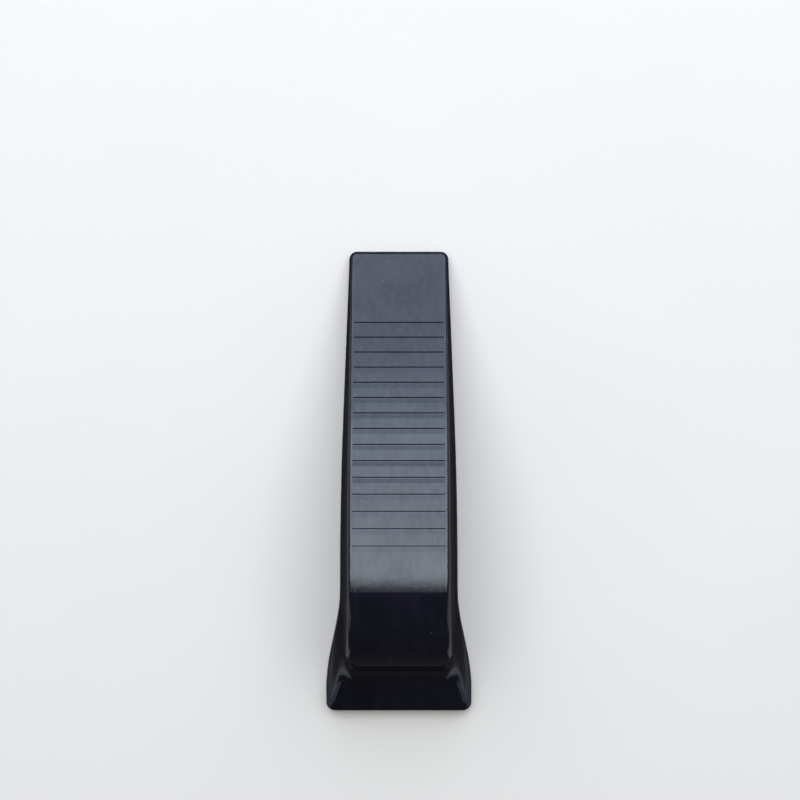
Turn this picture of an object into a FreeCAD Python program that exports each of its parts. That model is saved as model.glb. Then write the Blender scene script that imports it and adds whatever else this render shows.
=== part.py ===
import FreeCAD, Part

import math
import os

from FreeCAD import Vector

# Door wedge, in millimetres: a hard hollow shell on a rubber sole.
# The origin is on the floor, at the middle of the footprint. +Y points at the thin toe,
# +Z is up, and X runs across the wedge.
# A "run" is a distance back from the toe tip, so y = LENGTH / 2 - run.

# Overall sizes
LENGTH = 120.65
WIDTH = 38.1
HEIGHT = 33.5

# Ribbed face: a straight ramp, then an arc up to the crest, then the round of the heel
FACE_WIDTH = 25.4
FACE_EDGE_RADIUS = 1.1
TOE_HEIGHT = 2.6
RAMP_ANGLE = math.radians(25.7)
CREST_RADIUS = 98.0
HEEL_RADIUS = 22.0
CREST_RISE = CREST_RADIUS * (1 - math.cos(RAMP_ANGLE))
RAMP_RUN = (HEIGHT - TOE_HEIGHT - CREST_RISE) / math.tan(RAMP_ANGLE)
CREST_RUN = RAMP_RUN + CREST_RADIUS * math.sin(RAMP_ANGLE)

# Sole: its edge stands out past the shell, and it thins towards the toe
SOLE_MARGIN = 0.3
SOLE_AT_TOE = 1.3
SOLE_AT_HEEL = 3.3
SOLE_TOP_EDGE = 0.35
SOLE_FLOOR_EDGE = 0.5

# Flanks and heel wall of the shell, and the skirt that flares from them out to the foot
SHELL_FRONT = 0.3
SHELL_BACK = LENGTH - SOLE_MARGIN
FLANK_DRAFT = math.tan(math.radians(4.7))
HEEL_WALL_RUN = 107.0
HEEL_CORNER_RADIUS = 4.5
FOOT_CORNER_RADIUS = 2.0
LEAST_CORNER_RADIUS = 1.0
TOE_CORNER_RADIUS = 2.0
FLARE_TOP = 19.0
LIP_TOP = 4.9
LIP_RADIUS = 0.7
SKIRT_END_ANGLE = math.radians(75)
SKIRT_LEVELS = 7
LIP_LEVELS = 4
SIDE_FLARE_START_RUN = 89.0
SIDE_FLARE_END_RUN = 114.0
SIDE_FLARE = (WIDTH - FACE_WIDTH) / 2 - SOLE_MARGIN - (HEIGHT - SOLE_AT_HEEL) * FLANK_DRAFT
CREST_STATIONS = 5
FOOT_STATIONS = 6

# Grip teeth across the ramp: a step down, a narrow floor and a slope back up
TOOTH_COUNT = 15
TOOTH_PITCH = 4.31
FIRST_TOOTH_ARC = 21.0
TOOTH_DEPTH = 0.25
TOOTH_STEP = 0.2
TOOTH_FLOOR = 0.25
TOOTH_SLOPE = 1.25
TOOTH_LENGTH = 23.1

# Inside of the shell
WALL = 2.4
FACE_SKIN = 2.9
HOLLOW_START = 10.0
WEB = 1.8
CROSS_WEB_RUNS = (21.0, 43.0, 65.0, 87.0)

# Mushroom studs of the sole, and the stepped sockets of the shell that they snap into
STUD_RUNS = (32.0, 54.0, 76.0, 98.0)
SOCKET_WALL_RADIUS = 5.0
NECK_RADIUS = 2.1
NECK_LENGTH = 3.0
POCKET_RADIUS = 3.1
POCKET_LENGTH = 4.2
STUD_CLEARANCE = 0.1
HEAD_RADIUS = 2.8
HEAD_TIP_RADIUS = 1.4
HEAD_LENGTH = 3.4
SEAT_OVERLAP = 1.0

# Register: the raised pad of the sole that plugs into the mouth of the shell
REGISTER_HEIGHT = 0.9
REGISTER_CLEARANCE = 0.3

# Tread under the sole: chevron rows of grooves between a plain rim and a centre spine
TREAD_START = 16.0
TREAD_PITCH = 4.0
TREAD_ROWS = 24
TREAD_GROOVE = 1.5
TREAD_DEPTH = 0.7
TREAD_RIM = 2.6
TREAD_SPINE = 3.0
TREAD_SWEEP = 3.5

# Construction: how far the cutting solids overrun the part, and how near counts as touching
OVERRUN = 5.0
ABOVE = HEIGHT + OVERRUN
BELOW = -OVERRUN
ROUND_OVERRUN = 0.5
SEAM_ZONE = 1.0
NEAR = 0.02


def point(x, run, z):
    return Vector(x, LENGTH / 2 - run, z)


def extrude(points, direction):
    """A solid swept along direction from the closed polygon through points."""
    return Part.Face(Part.makePolygon(points + points[:1])).extrude(direction)


# ---------------------------------------------------------------- side profile


def face_height(run):
    """Height of the ribbed face. It stays level behind the crest."""
    if run < RAMP_RUN:
        return TOE_HEIGHT + run * math.tan(RAMP_ANGLE)
    to_crest = CREST_RUN - min(run, CREST_RUN)
    return HEIGHT - CREST_RADIUS + math.sqrt(CREST_RADIUS**2 - to_crest**2)


def under_face(skin):
    """All space below the ribbed face and the heel round, lowered by skin."""

    def on_round(full_radius, angle):
        radius = full_radius - skin
        height = HEIGHT - full_radius + radius * math.cos(angle)
        return point(-WIDTH, CREST_RUN + radius * math.sin(angle), height)

    heel_angle = math.asin((HEEL_WALL_RUN + ROUND_OVERRUN - CREST_RUN) / HEEL_RADIUS)
    ramp_end = on_round(CREST_RADIUS, -RAMP_ANGLE)
    ramp_start = ramp_end + Vector(0, math.cos(RAMP_ANGLE), -math.sin(RAMP_ANGLE)) * LENGTH / 2
    crest = on_round(CREST_RADIUS, 0)
    heel_end = on_round(HEEL_RADIUS, heel_angle)
    behind = point(-WIDTH, LENGTH + 2 * OVERRUN, heel_end.z)
    corners = [
        heel_end,
        behind,
        Vector(behind.x, behind.y, 2 * BELOW),
        Vector(behind.x, ramp_start.y, 2 * BELOW),
        ramp_start,
        ramp_end,
    ]
    edges = [
        Part.Arc(ramp_end, on_round(CREST_RADIUS, -RAMP_ANGLE / 2), crest).toShape(),
        Part.Arc(crest, on_round(HEEL_RADIUS, heel_angle / 2), heel_end).toShape(),
    ]
    edges += Part.makePolygon(corners).Edges
    return Part.Face(Part.Wire(Part.__sortEdges__(edges))).extrude(Vector(2 * WIDTH, 0, 0))


# ---------------------------------------------------------------- plan outlines


def drafted(run, z):
    """Half width of the plain flank at height z: the face's own, plus the draft below it."""
    return FACE_WIDTH / 2 + FLANK_DRAFT * (face_height(run) - z)


def smooth_curve(stations, z, start_slope):
    """A side curve through (x, run) stations that ends parallel to the Y axis."""
    curve = Part.BSplineCurve()
    curve.interpolate(
        Points=[point(x, run, z) for x, run in stations],
        InitialTangent=Vector(start_slope, -1, 0),
        FinalTangent=Vector(0, -1, 0),
    )
    return curve.toShape()


def corner(x, run, z, radius, start, end):
    """An arc round the centre x, run, from one angle to another off the X axis."""
    points = []
    for angle in (start, (start + end) / 2, end):
        points.append(point(x + radius * math.cos(angle), run + radius * math.sin(angle), z))
    return Part.Arc(*points).toShape()


def mirrored_outline(side_edges, front, back):
    """Close an outline from its +X side, whose ends lie on the front and back lines."""
    left = Part.Compound(side_edges).mirror(Vector(), Vector(1, 0, 0)).Edges
    edges = side_edges + left
    for end in (front, back):
        edges.append(Part.makeLine(Vector(-end.x, end.y, end.z), end))
    return Part.Wire(Part.__sortEdges__(edges))


def block_outline(z, inset, front):
    """The plain block at height z: toe, ramp flanks, crest flanks and heel wall."""
    slope = FLANK_DRAFT * math.tan(RAMP_ANGLE)
    turn = math.atan(slope)
    toe_r = TOE_CORNER_RADIUS
    first = front + toe_r * (1 - math.sin(turn))
    toe_x = drafted(first, z) - inset - toe_r * math.cos(turn)
    back = HEEL_WALL_RUN - inset
    heel_r = HEEL_CORNER_RADIUS - inset
    heel_x = drafted(CREST_RUN, z) - inset

    crest = []
    for step in range(CREST_STATIONS + 1):
        run = RAMP_RUN + (CREST_RUN - RAMP_RUN) * step / CREST_STATIONS
        crest.append((drafted(run, z) - inset, run))
    first_x = drafted(first, z) - inset
    side = [
        corner(toe_x, front + toe_r, z, toe_r, -math.pi / 2, -turn),
        Part.makeLine(point(first_x, first, z), point(*crest[0], z)),
        smooth_curve(crest, z, slope),
        Part.makeLine(point(heel_x, CREST_RUN, z), point(heel_x, back - heel_r, z)),
        corner(heel_x - heel_r, back - heel_r, z, heel_r, 0, math.pi / 2),
    ]
    return mirrored_outline(side, point(toe_x, front, z), point(heel_x - heel_r, back, z))


def foot_share(run):
    """How much of the foot's side flare there is: none near the crest, all at the heel."""
    share = (run - SIDE_FLARE_START_RUN) / (SIDE_FLARE_END_RUN - SIDE_FLARE_START_RUN)
    share = min(max(share, 0), 1)
    return share**2 * (3 - 2 * share)


def foot_outline(z, draft_z, flare, inset=0, rounding=0):
    """The skirt behind the crest at height z.

    draft_z is the height whose drafted width it has. flare is 0 on the heel wall and 1
    at the lip. inset moves all of it inwards, and rounding only the flared part.
    """
    back = HEEL_WALL_RUN + flare * (SHELL_BACK - HEEL_WALL_RUN) - rounding - inset
    radius = HEEL_CORNER_RADIUS + flare * (FOOT_CORNER_RADIUS - HEEL_CORNER_RADIUS)
    radius = max(radius - rounding - inset, LEAST_CORNER_RADIUS)
    stations = []
    for step in range(FOOT_STATIONS + 1):
        run = CREST_RUN + (back - radius - CREST_RUN) * step / FOOT_STATIONS
        foot = (flare * SIDE_FLARE - rounding) * foot_share(run)
        stations.append((drafted(run, draft_z) + foot - inset, run))
    x = stations[-1][0] - radius
    side = [
        smooth_curve(stations, z, 0),
        corner(x, back - radius, z, radius, 0, math.pi / 2),
    ]
    return mirrored_outline(side, point(*stations[0], z), point(x, back, z))


# ---------------------------------------------------------------- outer form


def block(inset, front, skin):
    """The wedge without its foot, set in by inset and lowered by skin."""
    outlines = [block_outline(z, inset, front) for z in (BELOW, ABOVE)]
    return Part.makeLoft(outlines, True, True).common(under_face(skin))


def skirt(wall):
    """The concave skirt, from the heel wall down to the lip, set in by wall."""
    end = SKIRT_END_ANGLE
    outlines = []
    for level in range(SKIRT_LEVELS):
        angle = end * level / (SKIRT_LEVELS - 1)
        flare = (1 - math.cos(angle)) / (1 - math.cos(end))
        z = FLARE_TOP - (FLARE_TOP - LIP_TOP) * math.sin(angle) / math.sin(end)
        rounding = LIP_RADIUS * (1 - math.cos(end)) * flare
        relief = wall * (1 - math.cos(angle))
        low_z = z - wall * math.sin(angle)
        outlines.append(foot_outline(low_z, z, flare, wall, rounding - relief))
    return Part.makeLoft(outlines, True, False)


def lip():
    """The rounded edge of the foot, and the foot's upright side below it."""
    outlines = []
    for level in range(LIP_LEVELS):
        angle = SKIRT_END_ANGLE * (1 - level / (LIP_LEVELS - 1))
        z = LIP_TOP - LIP_RADIUS * (math.sin(SKIRT_END_ANGLE) - math.sin(angle))
        outlines.append(foot_outline(z, z, 1, 0, LIP_RADIUS * (1 - math.cos(angle))))
    side = [outlines[-1], foot_outline(BELOW, BELOW, 1)]
    return [Part.makeLoft(outlines, True, False), Part.makeLoft(side, True, True)]


def on_top_edge(edge):
    """True where the ribbed face or the heel round meets a side, not at a seam across it."""
    middle = edge.valueAt((edge.FirstParameter + edge.LastParameter) / 2)
    run = LENGTH / 2 - middle.y
    height = face_height(run)
    if run > CREST_RUN:
        back = run - CREST_RUN
        height = HEIGHT - HEEL_RADIUS + math.sqrt(HEEL_RADIUS**2 - back**2)
    between_ends = SHELL_FRONT + SEAM_ZONE < run < HEEL_WALL_RUN - SEAM_ZONE
    seam = abs(middle.x) < SEAM_ZONE and between_ends
    return abs(middle.z - height) < NEAR and not seam


def outer_form():
    """The solid outside of the shell, down to below the parting plane."""
    form = block(0, SHELL_FRONT, 0)
    form = form.makeFillet(FACE_EDGE_RADIUS, [edge for edge in form.Edges if on_top_edge(edge)])
    return form.multiFuse([skirt(0)] + lip())


# ---------------------------------------------------------------- parting plane


def parting_height(run):
    return SOLE_AT_TOE + (SOLE_AT_HEEL - SOLE_AT_TOE) * run / LENGTH


def layer(low, high):
    """The space between two offsets, low and high, from the parting plane."""
    front = -OVERRUN
    back = LENGTH + OVERRUN
    corners = [
        point(-WIDTH, front, parting_height(front) + low),
        point(-WIDTH, back, parting_height(back) + low),
        point(-WIDTH, back, parting_height(back) + high),
        point(-WIDTH, front, parting_height(front) + high),
    ]
    return extrude(corners, Vector(2 * WIDTH, 0, 0))


def post(radius, run, z, length):
    return Part.makeCylinder(radius, length, point(0, run, z))


# ---------------------------------------------------------------- shell


def tooth_groove(index):
    """The groove in front of one grip tooth, square to the ribbed face."""
    arc = FIRST_TOOTH_ARC + index * TOOTH_PITCH
    past_ramp = max(arc - RAMP_RUN / math.cos(RAMP_ANGLE), 0)
    angle = RAMP_ANGLE - past_ramp / CREST_RADIUS
    run = arc * math.cos(RAMP_ANGLE)
    if past_ramp:
        run = CREST_RUN - CREST_RADIUS * math.sin(angle)

    floor_start = TOOTH_STEP
    slope_start = floor_start + TOOTH_FLOOR
    section = [
        (0, TOOTH_DEPTH),
        (0, 0),
        (floor_start, -TOOTH_DEPTH),
        (slope_start, -TOOTH_DEPTH),
        (slope_start + 2 * TOOTH_SLOPE, TOOTH_DEPTH),
    ]
    corners = []
    for along, out in section:
        back = along * math.cos(angle) - out * math.sin(angle)
        up = along * math.sin(angle) + out * math.cos(angle)
        corners.append(point(-TOOTH_LENGTH / 2, run + back, face_height(run) + up))
    return extrude(corners, Vector(TOOTH_LENGTH, 0, 0))


def webs():
    """Centre web, cross webs and socket walls, standing on the sole's register."""
    parts = [Part.makeBox(WEB, LENGTH, ABOVE, point(-WEB / 2, LENGTH, 0))]
    for run in CROSS_WEB_RUNS:
        parts.append(Part.makeBox(WIDTH, WEB, ABOVE, point(-WIDTH / 2, run + WEB / 2, 0)))
    for run in STUD_RUNS:
        parts.append(post(SOCKET_WALL_RADIUS, run, 0, ABOVE))
    return parts[0].multiFuse(parts[1:]).common(layer(REGISTER_HEIGHT, 2 * HEIGHT))


def socket(run):
    """A stepped bore: a narrow neck, then the wider pocket for the stud's head."""
    seat = parting_height(run) + REGISTER_HEIGHT
    neck = post(NECK_RADIUS, run, seat - SEAT_OVERLAP, NECK_LENGTH + SEAT_OVERLAP)
    return neck.fuse(post(POCKET_RADIUS, run, seat + NECK_LENGTH, POCKET_LENGTH))


def wedge_shell():
    form = outer_form()
    hollow = block(WALL, HOLLOW_START, FACE_SKIN).fuse(skirt(WALL))
    core = hollow.cut(webs()).multiFuse([socket(run) for run in STUD_RUNS])
    grooves = [tooth_groove(index) for index in range(TOOTH_COUNT)]
    shell = form.common(layer(0, 2 * HEIGHT)).cut(core)
    return shell.cut(grooves)


# ---------------------------------------------------------------- sole


def stud(run):
    """A mushroom stud: a shank through the neck, and a tapered head behind it."""
    seat = parting_height(run) + REGISTER_HEIGHT
    length = NECK_LENGTH + STUD_CLEARANCE
    shank = post(NECK_RADIUS - STUD_CLEARANCE, run, seat - SEAT_OVERLAP, length + SEAT_OVERLAP)
    base = point(0, run, seat + length)
    return shank.fuse(Part.makeCone(HEAD_RADIUS, HEAD_TIP_RADIUS, HEAD_LENGTH, base))


def sole_pad():
    """The plain pad under the whole shell, with both of its outer edges rounded."""
    down = Vector(0, 0, -SOLE_AT_HEEL)
    front = Part.Face(block_outline(SOLE_AT_HEEL, -SOLE_MARGIN, 0)).extrude(down)
    foot = Part.Face(foot_outline(SOLE_AT_HEEL, SOLE_AT_HEEL, 1, -SOLE_MARGIN)).extrude(down)
    pad = front.fuse(foot).common(layer(2 * BELOW, 0)).removeSplitter().Solids[0]
    floor_edges = [edge for edge in pad.Edges if edge.BoundBox.ZMax < NEAR]
    pad = pad.makeFillet(SOLE_FLOOR_EDGE, floor_edges)
    top_face = max(pad.Faces, key=lambda face: face.CenterOfMass.z)
    return pad.makeFillet(SOLE_TOP_EDGE, top_face.Edges)


def tread_groove(run, sign):
    """One arm of a chevron, from the spine out to the rim and back towards the heel."""
    foot = SIDE_FLARE * foot_share(run)
    inner = TREAD_SPINE / 2
    outer = drafted(run, SOLE_AT_HEEL) + foot + SOLE_MARGIN - TREAD_RIM
    corners = [
        point(sign * inner, run, -TREAD_DEPTH),
        point(sign * outer, run + TREAD_SWEEP, -TREAD_DEPTH),
        point(sign * outer, run + TREAD_SWEEP + TREAD_GROOVE, -TREAD_DEPTH),
        point(sign * inner, run + TREAD_GROOVE, -TREAD_DEPTH),
    ]
    return extrude(corners, Vector(0, 0, 2 * TREAD_DEPTH))


def register():
    """The raised pad that plugs into the mouth of the shell, up to the heel wall."""
    gap = REGISTER_CLEARANCE
    return block(WALL + gap, HOLLOW_START + gap, FACE_SKIN).common(layer(0, REGISTER_HEIGHT))


def rubber_sole():
    sole = sole_pad().multiFuse([register()] + [stud(run) for run in STUD_RUNS])
    grooves = []
    for row in range(TREAD_ROWS):
        run = TREAD_START + row * TREAD_PITCH
        grooves += [tread_groove(run, 1), tread_groove(run, -1)]
    return sole.cut(grooves)


if __name__ == "__main__":
    os.makedirs("parts", exist_ok=True)
    wedge_shell().Solids[0].exportStep("parts/wedge_shell.step")
    rubber_sole().Solids[0].exportStep("parts/rubber_sole.step")
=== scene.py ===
import math

import bpy
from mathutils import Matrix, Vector


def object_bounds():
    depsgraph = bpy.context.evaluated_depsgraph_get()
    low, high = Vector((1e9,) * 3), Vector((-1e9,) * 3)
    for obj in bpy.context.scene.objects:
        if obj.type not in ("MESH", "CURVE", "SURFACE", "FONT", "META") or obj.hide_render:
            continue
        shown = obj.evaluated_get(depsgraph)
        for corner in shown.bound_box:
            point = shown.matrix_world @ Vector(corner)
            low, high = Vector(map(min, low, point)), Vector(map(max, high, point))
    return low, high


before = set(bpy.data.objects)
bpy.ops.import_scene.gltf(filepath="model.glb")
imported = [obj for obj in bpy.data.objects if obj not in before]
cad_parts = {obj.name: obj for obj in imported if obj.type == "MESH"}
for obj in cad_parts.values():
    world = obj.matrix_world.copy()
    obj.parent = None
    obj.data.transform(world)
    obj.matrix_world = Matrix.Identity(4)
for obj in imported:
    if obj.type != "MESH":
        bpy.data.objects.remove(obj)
cad_low, cad_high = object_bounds()

# ------------------------------------------------------------------ view and lights

# Camera: straight above, toe at the top of the picture, wedge low in the frame. All in
# metres, apart from the sensor, which is in millimetres.
CAMERA_HEIGHT = 0.5
FRAME_WIDTH = 0.2114
SENSOR = 36.0
CAMERA_X = 0.0003
CAMERA_PAST_CENTRE = 0.0212

# A curved softbox: flat panels on an arc from just behind overhead down to the toe side.
# The radiances and tints run from the first panel, overhead, to the lowest one.
PANEL_STEP = math.radians(6.2)
PANEL_START = math.radians(-4.0)
PANEL_DISTANCE = 0.95
PANEL_WIDTH = 1.5
PANEL_RADIANCE = (5.4, 5.3, 5.1, 4.9, 4.8, 4.7, 4.7, 4.6, 4.2, 2.8, 3.2, 3.3, 2.7, 2.1)
OVERHEAD_TINT = (1.0, 0.99, 0.96)
LOW_TINT = (0.86, 0.93, 1.10)

# Weak square fills beyond the four corners
FILL_DISTANCE = 1.0
FILL_SIZE = 0.6
FILL_RADIANCE = 0.6
FILL_AZIMUTHS = (50, 130, 230, 310)
FILL_ELEVATION = math.radians(32)

# Long low softboxes on both sides, which give the flanks and the face's edges their sheen
SIDE_DISTANCE = 1.0
SIDE_LENGTH = 1.6
SIDE_HEIGHT = 0.5
SIDE_RADIANCE = 0.7
SIDE_ELEVATION = math.radians(15)

AMBIENT = 0.09
BACKDROP = (0.80, 0.80, 0.79)

# Distances in millimetres over which the edges of the painted dark reflection strip, and the
# floor itself, fade out
REFLECTED_STRIP_HALF_WIDTH = (26, 40)
FLOOR_FADE = (300, 900)


def area_light(name, location, width, height, radiance, tint=(1, 1, 1)):
    """A softbox panel that faces the object."""
    data = bpy.data.lights.new(name, "AREA")
    data.color = tint
    data.shape = "RECTANGLE"
    data.size = width
    data.size_y = height
    data.energy = radiance * math.pi * width * height
    light = bpy.data.objects.new(name, data)
    light.location = location
    light.rotation_mode = "QUATERNION"
    light.rotation_quaternion = (-location).to_track_quat("-Z", "Y")
    light.visible_camera = False
    bpy.context.scene.collection.objects.link(light)


def add_lights():
    """The curved softbox, the corner fills and the two side softboxes."""
    for index, radiance in enumerate(PANEL_RADIANCE):
        tilt = PANEL_START + (index + 0.5) * PANEL_STEP
        place = Vector((0, math.sin(tilt), math.cos(tilt))) * PANEL_DISTANCE
        height = 2 * PANEL_DISTANCE * math.tan(PANEL_STEP / 2)
        low = index / (len(PANEL_RADIANCE) - 1)
        tint = Vector(OVERHEAD_TINT).lerp(Vector(LOW_TINT), low)
        area_light(f"key_{index}", place, PANEL_WIDTH, height, radiance, tint)
    for azimuth in FILL_AZIMUTHS:
        turn = math.radians(azimuth)
        flat = math.cos(FILL_ELEVATION)
        place = Vector((math.sin(turn) * flat, -math.cos(turn) * flat, math.sin(FILL_ELEVATION)))
        area_light(f"fill_{azimuth}", place * FILL_DISTANCE, FILL_SIZE, FILL_SIZE, FILL_RADIANCE)

    for side in (-1, 1):
        place = Vector((side * math.cos(SIDE_ELEVATION), 0, math.sin(SIDE_ELEVATION)))
        name = "side_right" if side > 0 else "side_left"
        area_light(name, place * SIDE_DISTANCE, SIDE_LENGTH, SIDE_HEIGHT, SIDE_RADIANCE)


def add_world():
    """Even ambient light, with a pale backdrop where the camera looks past the floor."""
    world = bpy.data.worlds.new("studio")
    bpy.context.scene.world = world
    world.use_nodes = True
    nodes = world.node_tree.nodes
    links = world.node_tree.links
    background = nodes["Background"]
    background.inputs["Color"].default_value = (*BACKDROP, 1)
    path = nodes.new("ShaderNodeLightPath")
    strength = nodes.new("ShaderNodeMapRange")
    strength.inputs["To Min"].default_value = AMBIENT
    strength.inputs["To Max"].default_value = 1.0
    links.new(path.outputs["Is Camera Ray"], strength.inputs["Value"])
    links.new(strength.outputs["Result"], background.inputs["Strength"])


def add_camera():
    """A camera that looks straight down."""
    data = bpy.data.cameras.new("camera")
    data.sensor_width = SENSOR
    data.lens = SENSOR * CAMERA_HEIGHT / FRAME_WIDTH
    camera = bpy.data.objects.new("camera", data)
    centre = (cad_low + cad_high) / 2
    camera.location = (
        centre.x + CAMERA_X,
        centre.y + CAMERA_PAST_CENTRE,
        cad_low.z + CAMERA_HEIGHT,
    )
    bpy.context.scene.collection.objects.link(camera)
    bpy.context.scene.camera = camera


# ------------------------------------------------------------------ materials

MM = 1000.0
EDGE_SAMPLES = 6

# The colour sockets of Blender's Mix node, by place, because they share their names
MIX_COLOUR_A = 6
MIX_COLOUR_B = 7
MIX_COLOUR_RESULT = 2

# Near-black plastic in two shades, its streaks, worn edges and dust, and its sheen's tint
SHELL_DEEP = (0.0020, 0.0018, 0.0044)
SHELL_SOFT = (0.0033, 0.0031, 0.0066)
SHELL_STREAK = (0.007, 0.007, 0.011)
SHELL_WORN = (0.035, 0.036, 0.042)
SHELL_DUST = (0.05, 0.05, 0.055)
SHELL_SHEEN = (0.78, 0.87, 1.0)
WEAR_ROUGHNESS = 0.25

# Specular level of the flanks, seen face on and edge on
FLANK_SPECULAR = 0.35
FLANK_SPECULAR_EDGE_ON = 0.06

SOLE_BLACK = (0.0075, 0.0075, 0.0095)
SOLE_BLOOM = (0.022, 0.021, 0.022)

FLOOR_SHADE = (0.42, 0.42, 0.415)
FLOOR_LIGHT = (0.44, 0.44, 0.435)
# Painted reflection: the near-black that only glossy rays see on the floor along the wedge
FLOOR_DARK_IN_REFLECTIONS = (0.03, 0.03, 0.033)
FLOOR_HALF_SIZE = 8.0

# Stretch of a pattern: long streaks, scratches and haze along Y, and drag marks along Z
STREAKS = (1, 0.08, 1)
SCRATCHES = (1, 0.03, 1)
HAZE = (1, 0.25, 1)
DRAG = (1, 1, 0.05)
ACROSS = (1, 0, 0)


class Nodes:
    """Builds one material, node by node. Values may be numbers, colours or sockets."""

    def __init__(self, name):
        self.material = bpy.data.materials.new(name)
        self.material.use_nodes = True
        self.tree = self.material.node_tree
        self.tree.nodes.clear()
        self.output = self.add("ShaderNodeOutputMaterial")
        self.shader = self.add("ShaderNodeBsdfPrincipled")
        self.tree.links.new(self.shader.outputs["BSDF"], self.output.inputs["Surface"])

    def add(self, kind, **settings):
        node = self.tree.nodes.new(kind)
        for name, value in settings.items():
            setattr(node, name, value)
        return node

    def put(self, socket, value):
        if hasattr(value, "is_output"):
            self.tree.links.new(value, socket)
        elif isinstance(value, tuple) and len(value) == 3 and socket.type == "RGBA":
            socket.default_value = (*value, 1)
        else:
            socket.default_value = value

    def finish(self, **inputs):
        for name, value in inputs.items():
            self.put(self.shader.inputs[name.replace("_", " ")], value)
        return self.material

    def position(self, stretch=(1, 1, 1)):
        """The object's own coordinates in millimetres, stretched."""
        coordinates = self.add("ShaderNodeTexCoord")
        mapping = self.add("ShaderNodeMapping")
        mapping.inputs["Scale"].default_value = [MM * part for part in stretch]
        self.tree.links.new(coordinates.outputs["Object"], mapping.inputs["Vector"])
        return mapping.outputs["Vector"]

    def noise(self, size, detail, stretch=(1, 1, 1)):
        """Noise from 0 to 1 whose lumps are about size millimetres across."""
        node = self.add("ShaderNodeTexNoise")
        node.inputs["Scale"].default_value = 1 / size
        node.inputs["Detail"].default_value = detail
        self.tree.links.new(self.position(stretch), node.inputs["Vector"])
        return node.outputs["Fac"]

    def cells(self, size):
        """Distance to the middle of the nearest cell, cells about size millimetres across."""
        node = self.add("ShaderNodeTexVoronoi")
        node.inputs["Scale"].default_value = 1 / size
        self.tree.links.new(self.position(), node.inputs["Vector"])
        return node.outputs["Distance"]

    def distance(self, stretch=(1, 1, 1)):
        """Distance in millimetres from the object's own origin, along the kept axes."""
        node = self.add("ShaderNodeVectorMath", operation="LENGTH")
        self.tree.links.new(self.position(stretch), node.inputs[0])
        return node.outputs["Value"]

    def math(self, operation, a, b=0.0):
        node = self.add("ShaderNodeMath", operation=operation)
        self.put(node.inputs[0], a)
        self.put(node.inputs[1], b)
        return node.outputs["Value"]

    def times(self, a, b):
        return self.math("MULTIPLY", a, b)

    def plus(self, a, b):
        return self.math("ADD", a, b)

    def ramp(self, value, low, high, to_low=0.0, to_high=1.0):
        """A smooth step of value, from to_low at low to to_high at high."""
        node = self.add("ShaderNodeMapRange", interpolation_type="SMOOTHSTEP")
        for name, number in (
            ("Value", value),
            ("From Min", low),
            ("From Max", high),
            ("To Min", to_low),
            ("To Max", to_high),
        ):
            self.put(node.inputs[name], number)
        return node.outputs["Result"]

    def blend(self, share, a, b):
        """Colour a where share is 0, colour b where it is 1."""
        node = self.add("ShaderNodeMix", data_type="RGBA")
        self.put(node.inputs["Factor"], share)
        self.put(node.inputs[MIX_COLOUR_A], a)
        self.put(node.inputs[MIX_COLOUR_B], b)
        return node.outputs[MIX_COLOUR_RESULT]

    def sideways(self):
        """How far the surface faces sideways: 0 on the ribbed face, 1 on the flanks."""
        geometry = self.add("ShaderNodeNewGeometry")
        split = self.add("ShaderNodeSeparateXYZ")
        self.tree.links.new(geometry.outputs["Normal"], split.inputs["Vector"])
        return self.math("ABSOLUTE", split.outputs["X"])

    def oblique(self):
        """How obliquely the surface is seen: 0 face on, 1 edge on."""
        return self.add("ShaderNodeLayerWeight").outputs["Facing"]

    def worn_edge(self, reach):
        """1 on sharp outer edges, 0 elsewhere, within reach millimetres."""
        node = self.add("ShaderNodeAmbientOcclusion", inside=True, samples=EDGE_SAMPLES)
        node.inputs["Distance"].default_value = reach / MM
        return self.math("SUBTRACT", 1.0, node.outputs["AO"])

    def bump(self, height, depth, normal=None):
        """A bump whose height runs from 0 to depth millimetres."""
        node = self.add("ShaderNodeBump")
        node.inputs["Strength"].default_value = 1.0
        node.inputs["Distance"].default_value = depth / MM
        self.tree.links.new(height, node.inputs["Height"])
        if normal is not None:
            self.tree.links.new(normal, node.inputs["Normal"])
        return node.outputs["Normal"]


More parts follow.
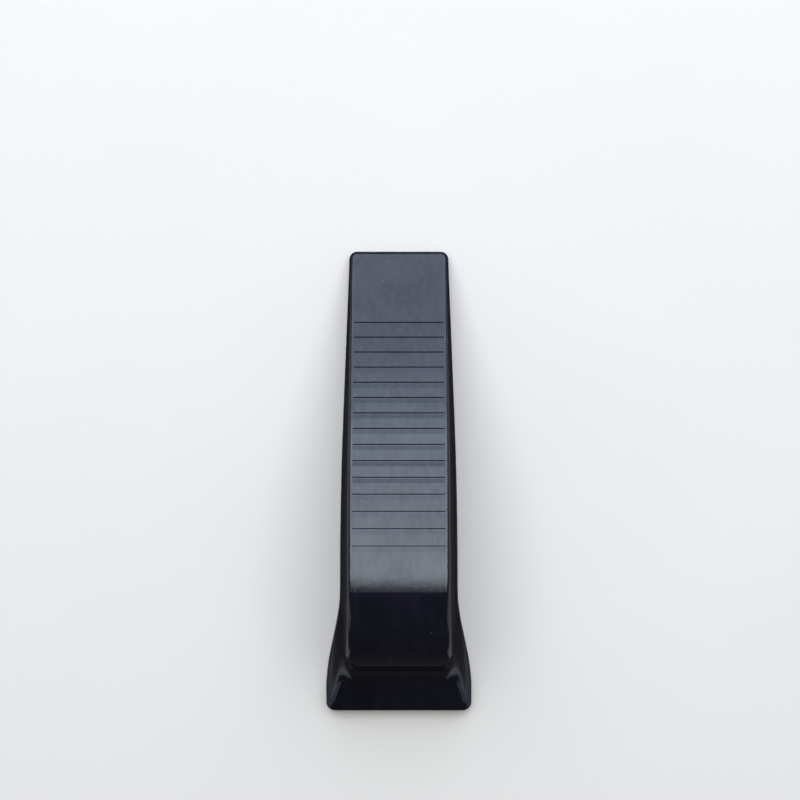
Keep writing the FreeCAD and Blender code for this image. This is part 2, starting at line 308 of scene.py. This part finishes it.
def shell_material():
    """Near-black moulded plastic: satin on the face, duller and grained on the flanks."""
    n = Nodes("hard_shell")
    flank = n.ramp(n.sideways(), 0.55, 0.9)
    face = n.math("SUBTRACT", 1.0, flank)

    cloud = n.ramp(n.noise(22, detail=3), 0.35, 0.65)
    colour = n.blend(cloud, SHELL_DEEP, SHELL_SOFT)
    streak = n.ramp(n.noise(3.0, detail=4, stretch=STREAKS), 0.45, 0.75, 0.0, 0.35)
    colour = n.blend(streak, colour, SHELL_STREAK)
    wear = n.times(n.worn_edge(0.5), n.ramp(n.noise(2.5, detail=4), 0.40, 0.65))
    colour = n.blend(n.times(wear, 0.6), colour, SHELL_WORN)
    dust = n.times(n.ramp(n.cells(3.6), 0.09, 0.04), n.ramp(n.noise(11, detail=2), 0.45, 0.6))
    dust = n.times(dust, face)
    colour = n.blend(n.times(dust, 0.5), colour, SHELL_DUST)

    face_rough = n.ramp(n.noise(9, detail=4), 0.3, 0.7, 0.08, 0.11)
    scuff = n.ramp(n.noise(0.5, detail=3, stretch=SCRATCHES), 0.55, 0.72, 0.0, 0.05)
    face_rough = n.plus(face_rough, scuff)
    face_rough = n.plus(face_rough, n.times(n.plus(wear, dust), WEAR_ROUGHNESS))
    flank_rough = n.ramp(n.noise(4, detail=4), 0.3, 0.7, 0.30, 0.42)
    rough = n.plus(n.times(flank_rough, flank), n.times(face_rough, face))

    haze = n.times(n.noise(10, detail=5), n.noise(1.2, detail=4, stretch=HAZE))
    shine = n.times(n.ramp(haze, 0.12, 0.42, 0.55, 0.45), face)
    flank_shine = n.ramp(n.oblique(), 0.6, 0.9, FLANK_SPECULAR, FLANK_SPECULAR_EDGE_ON)
    shine = n.plus(shine, n.times(flank_shine, flank))

    grain = n.bump(n.noise(0.35, detail=3), 0.0025)
    grain = n.bump(n.noise(1.6, detail=2), 0.005, grain)
    grain = n.bump(n.times(n.noise(0.8, detail=3, stretch=DRAG), flank), 0.02, grain)
    return n.finish(
        Base_Color=colour,
        Roughness=rough,
        Specular_IOR_Level=shine,
        Specular_Tint=SHELL_SHEEN,
        Normal=grain,
    )


def sole_material():
    """Matte black rubber with a fine grain and a faint dusty bloom."""
    n = Nodes("sole_rubber")
    bloom = n.ramp(n.noise(7, detail=5), 0.45, 0.75, 0.0, 0.6)
    return n.finish(
        Base_Color=n.blend(bloom, SOLE_BLACK, SOLE_BLOOM),
        Roughness=n.ramp(n.noise(3, detail=4), 0.3, 0.7, 0.62, 0.82),
        Specular_IOR_Level=0.35,
        Normal=n.bump(n.noise(0.3, detail=3), 0.02),
    )


def floor_material():
    """A pale floor that fades into the backdrop.

    Only reflections see a near-black strip on it, like a long dark card laid under the object:
    painted dark reflections for the wedge, where the camera sees the floor pale.
    """
    n = Nodes("floor")
    colour = n.blend(n.noise(60, detail=4), FLOOR_SHADE, FLOOR_LIGHT)
    # Painted reflection: glossy rays see the floor near-black in a strip along the wedge, while
    # the camera sees it pale
    in_reflected_strip = n.ramp(n.distance(ACROSS), *REFLECTED_STRIP_HALF_WIDTH, 1.0, 0.0)
    path = n.add("ShaderNodeLightPath")
    colour = n.blend(n.times(in_reflected_strip, path.outputs["Is Glossy Ray"]), colour, FLOOR_DARK_IN_REFLECTIONS)
    fade = n.ramp(n.distance(), *FLOOR_FADE, 1.0, 0.0)
    return n.finish(Base_Color=colour, Roughness=0.85, Specular_IOR_Level=0.2, Alpha=fade)


def paint(obj, material):
    for slot in obj.material_slots:
        slot.material = material


def add_floor():
    half = FLOOR_HALF_SIZE
    mesh = bpy.data.meshes.new("floor")
    corners = [(-half, -half, 0), (half, -half, 0), (half, half, 0), (-half, half, 0)]
    mesh.from_pydata(corners, [], [(0, 1, 2, 3)])
    mesh.materials.append(floor_material())
    floor = bpy.data.objects.new("floor", mesh)
    floor.location.z = cad_low.z
    bpy.context.scene.collection.objects.link(floor)


paint(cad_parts["wedge_shell"], shell_material())
paint(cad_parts["rubber_sole"], sole_material())
add_floor()
add_lights()
add_world()
add_camera()
bpy.context.scene.view_settings.view_transform = "Standard"
